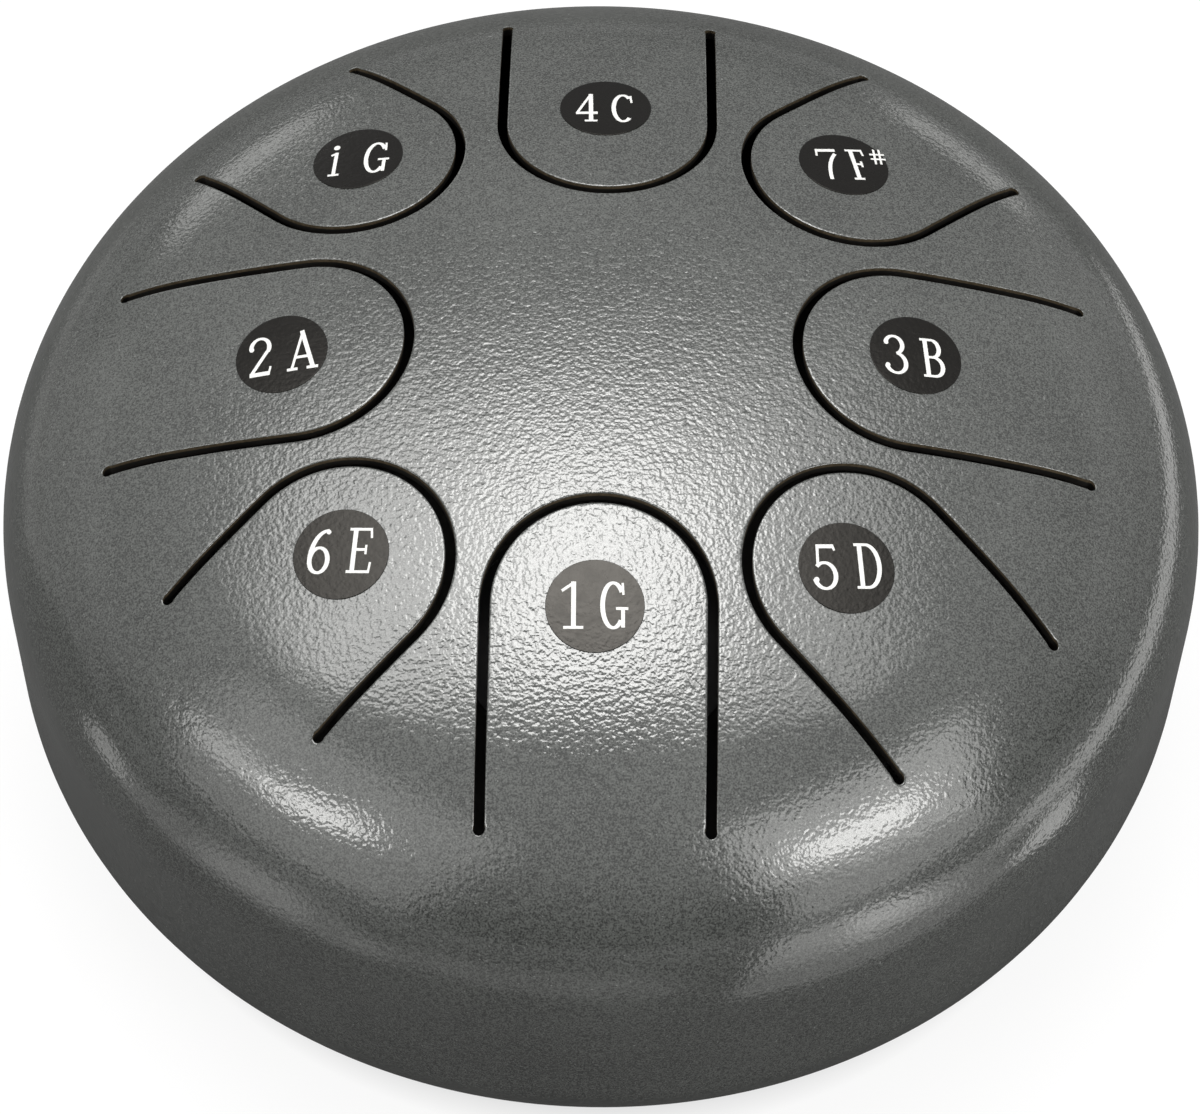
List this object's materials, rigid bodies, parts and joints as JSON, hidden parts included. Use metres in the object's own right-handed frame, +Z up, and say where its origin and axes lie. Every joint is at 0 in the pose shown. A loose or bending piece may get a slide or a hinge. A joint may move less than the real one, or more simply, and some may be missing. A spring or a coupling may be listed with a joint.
{
  "type": "tongue drum",
  "caption": "Round steel tongue drum: a domed shell with spring tongues cut in it, each with a note label, welded to a flat base with a sound hole and rubber feet.",
  "frame": {"origin": "on the drum's axis, in the plane that the feet stand on", "axes": "+Z up along the drum's axis; tongue 1 points to -Y, towards the player, and tongue 3 to +X"},
  "size_m": [0.152, 0.152, 0.0755],
  "materials": {
    "painted_steel": "grey textured powder coat, semi-gloss",
    "weld": "ground and painted weld, rough inside",
    "label": "satin black vinyl with white marks",
    "rubber": "matt black rubber",
    "zinc": "bright zinc plate"
  },
  "bodies": {
    "drum_shell": {"upper_shell": "painted_steel", "lower_shell": "painted_steel", "weld_seam": "weld", "foot_1": "rubber", "foot_2": "rubber", "foot_3": "rubber", "foot_washer_1": "zinc", "foot_washer_2": "zinc", "foot_washer_3": "zinc", "foot_screw_1": "zinc", "foot_screw_2": "zinc", "foot_screw_3": "zinc"},
    "tongue_1": {"tongue_1": "painted_steel", "note_label_1": "label"},
    "tongue_2": {"tongue_2": "painted_steel", "note_label_2": "label"},
    "tongue_3": {"tongue_3": "painted_steel", "note_label_3": "label"},
    "tongue_4": {"tongue_4": "painted_steel", "note_label_4": "label"},
    "tongue_5": {"tongue_5": "painted_steel", "note_label_5": "label"},
    "tongue_6": {"tongue_6": "painted_steel", "note_label_6": "label"},
    "tongue_7": {"tongue_7": "painted_steel", "note_label_7": "label"},
    "tongue_8": {"tongue_8": "painted_steel", "note_label_8": "label"}
  },
  "joints": [
    {"name": "tongue_1_flex", "type": "hinge", "parent": "drum_shell", "child": "tongue_1", "pos_m": [0, -0.0619, 0.06215], "axis": [1, 0, 0], "range_deg": [-1, 1], "stiffness_Nm_per_rad": 70},
    {"name": "tongue_2_flex", "type": "hinge", "parent": "drum_shell", "child": "tongue_2", "pos_m": [-0.0598, 0, 0.06334], "axis": [0, -1, 0], "range_deg": [-1, 1], "stiffness_Nm_per_rad": 72},
    {"name": "tongue_3_flex", "type": "hinge", "parent": "drum_shell", "child": "tongue_3", "pos_m": [0.0592, 0, 0.06366], "axis": [0, 1, 0], "range_deg": [-1, 1], "stiffness_Nm_per_rad": 74},
    {"name": "tongue_4_flex", "type": "hinge", "parent": "drum_shell", "child": "tongue_4", "pos_m": [0, 0.059, 0.06376], "axis": [-1, 0, 0], "range_deg": [-1, 1], "stiffness_Nm_per_rad": 74},
    {"name": "tongue_5_flex", "type": "hinge", "parent": "drum_shell", "child": "tongue_5", "pos_m": [0.04441, -0.04441, 0.06158], "axis": [0.7071, 0.7071, 0], "range_deg": [-1, 1], "stiffness_Nm_per_rad": 80},
    {"name": "tongue_6_flex", "type": "hinge", "parent": "drum_shell", "child": "tongue_6", "pos_m": [-0.04158, -0.04158, 0.06386], "axis": [0.7071, -0.7071, 0], "range_deg": [-1, 1], "stiffness_Nm_per_rad": 92},
    {"name": "tongue_7_flex", "type": "hinge", "parent": "drum_shell", "child": "tongue_7", "pos_m": [0.04271, 0.04271, 0.06302], "axis": [-0.7071, 0.7071, 0], "range_deg": [-1, 1], "stiffness_Nm_per_rad": 88},
    {"name": "tongue_8_flex", "type": "hinge", "parent": "drum_shell", "child": "tongue_8", "pos_m": [-0.04257, 0.04257, 0.06313], "axis": [-0.7071, -0.7071, 0], "range_deg": [-1, 1], "stiffness_Nm_per_rad": 92}
  ]
}
